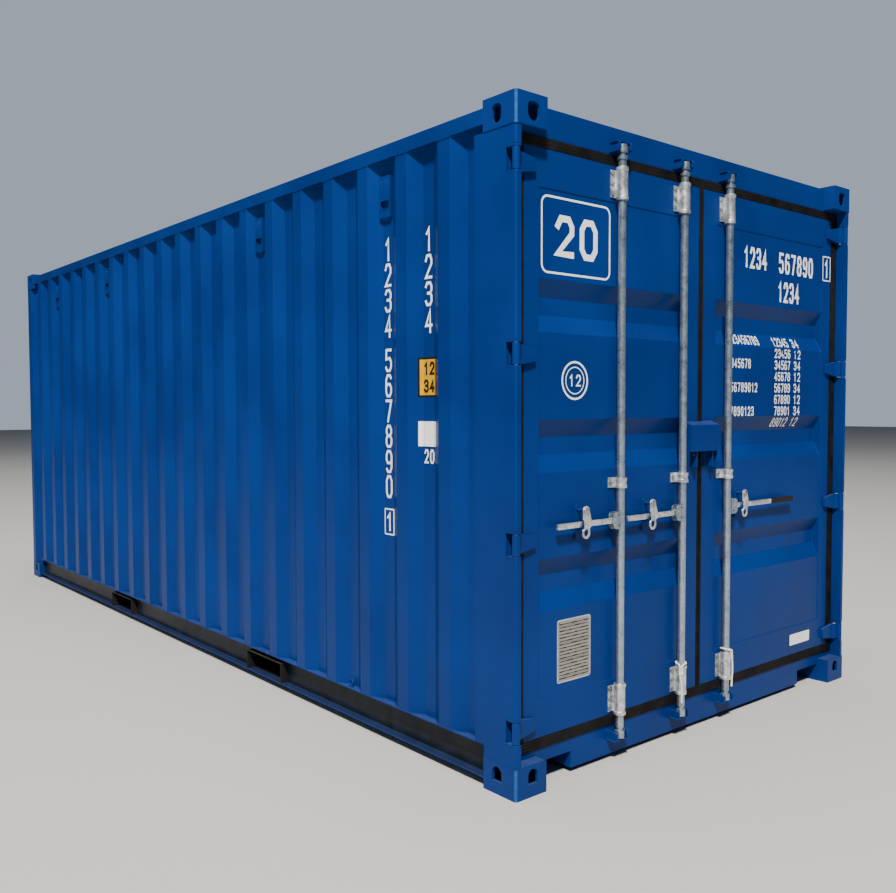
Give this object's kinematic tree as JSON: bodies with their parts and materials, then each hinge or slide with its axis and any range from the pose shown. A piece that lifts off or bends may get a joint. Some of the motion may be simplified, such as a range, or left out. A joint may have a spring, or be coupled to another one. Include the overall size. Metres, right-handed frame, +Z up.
{
  "type": "shipping container",
  "caption": "Steel dry-freight shipping container with corrugated walls, corner castings, fork pockets and double end doors with locking bars.",
  "frame": {"origin": "centre of the rectangle on which the lower corner castings stand", "axes": "+X along the length towards the door end, +Z up, +Y towards the right door seen from outside"},
  "size_m": [6.058, 2.438, 2.591],
  "materials": {
    "blue_paint": "semi-gloss signal blue marine paint",
    "zinc": "hot-dip galvanised, dull light grey",
    "seal_rubber": "matt black EPDM",
    "grip_plastic": "matt dark brown sleeve",
    "plywood": "oiled marine plywood",
    "rope": "cream braided cord"
  },
  "bodies": {
    "container": {"bottom_castings": "blue_paint", "front_top_castings": "blue_paint", "door_top_castings": "blue_paint", "rear_corner_posts": "blue_paint", "front_corner_posts": "blue_paint", "hinge_lugs": "blue_paint", "hinge_pins": "zinc", "bottom_rail_left": "blue_paint", "bottom_rail_right": "blue_paint", "top_rails": "blue_paint", "front_sill": "blue_paint", "front_header": "blue_paint", "door_sill": "blue_paint", "door_header": "blue_paint", "front_wall": "blue_paint", "side_wall_left": "blue_paint", "side_wall_right": "blue_paint", "roof": "blue_paint", "cross_members": "blue_paint", "fork_pockets": "blue_paint", "floor": "plywood", "floor_center_rail": "blue_paint", "cam_keepers": "blue_paint", "side_vents": "blue_paint", "tie_back_hooks": "blue_paint"},
    "left_door": {"left_door_frame": "blue_paint", "left_door_panel": "blue_paint", "left_hinge_blades": "blue_paint", "left_door_gasket": "seal_rubber", "left_bar_brackets": "zinc", "left_handle_retainers": "blue_paint", "left_lock_staple": "blue_paint", "left_door_rope": "rope"},
    "right_door": {"right_door_frame": "blue_paint", "right_door_panel": "blue_paint", "right_hinge_blades": "blue_paint", "right_door_gasket": "seal_rubber", "right_bar_brackets": "zinc", "right_handle_retainer": "blue_paint", "right_lock_box": "blue_paint", "right_lock_staple": "blue_paint", "right_door_rope": "rope"},
    "left_outer_bar": {"bar_1": "zinc"},
    "left_inner_bar": {"bar_2": "zinc"},
    "right_bar": {"bar_3": "zinc"},
    "left_outer_handle": {"handle_1": "zinc"},
    "left_inner_handle": {"handle_2": "zinc"},
    "right_handle": {"handle_3": "zinc", "handle_3_grip": "grip_plastic"},
    "left_outer_catch": {"catch_1": "zinc"},
    "left_inner_catch": {"catch_2": "zinc"},
    "right_catch": {"catch_3": "zinc"}
  },
  "joints": [
    {"name": "left_door_hinge", "type": "hinge", "parent": "container", "child": "left_door", "pos_m": [3.011, -1.201, 1.3], "axis": [0, 0, -1], "range_deg": [0, 265]},
    {"name": "right_door_hinge", "type": "hinge", "parent": "container", "child": "right_door", "pos_m": [3.011, 1.201, 1.3], "axis": [0, 0, 1], "range_deg": [0, 265]},
    {"name": "left_outer_bar_turn", "type": "hinge", "parent": "left_door", "child": "left_outer_bar", "pos_m": [3.002, -0.6, 1.3], "axis": [0, 0, -1], "range_deg": [-105, 0]},
    {"name": "left_inner_bar_turn", "type": "hinge", "parent": "left_door", "child": "left_inner_bar", "pos_m": [3.002, -0.184, 1.3], "axis": [0, 0, -1], "range_deg": [-105, 0]},
    {"name": "right_bar_turn", "type": "hinge", "parent": "right_door", "child": "right_bar", "pos_m": [3.002, 0.158, 1.3], "axis": [0, 0, 1], "range_deg": [-105, 0]},
    {"name": "left_outer_handle_lift", "type": "hinge", "parent": "left_outer_bar", "child": "left_outer_handle", "pos_m": [3.0035, -0.645, 0.996], "axis": [-1, 0, 0], "range_deg": [0, 8]},
    {"name": "left_inner_handle_lift", "type": "hinge", "parent": "left_inner_bar", "child": "left_inner_handle", "pos_m": [3.0035, -0.229, 0.996], "axis": [-1, 0, 0], "range_deg": [0, 8]},
    {"name": "right_handle_lift", "type": "hinge", "parent": "right_bar", "child": "right_handle", "pos_m": [3.0035, 0.203, 0.996], "axis": [1, 0, 0], "range_deg": [0, 18]},
    {"name": "left_outer_catch_swing", "type": "hinge", "parent": "left_door", "child": "left_outer_catch", "pos_m": [3.021, -0.831, 1.05], "axis": [-1, 0, 0], "range_deg": [0, 100]},
    {"name": "left_inner_catch_swing", "type": "hinge", "parent": "left_door", "child": "left_inner_catch", "pos_m": [3.021, -0.415, 1.05], "axis": [-1, 0, 0], "range_deg": [0, 100]},
    {"name": "right_catch_swing", "type": "hinge", "parent": "right_door", "child": "right_catch", "pos_m": [3.021, 0.272, 1.05], "axis": [1, 0, 0], "range_deg": [0, 100]}
  ]
}
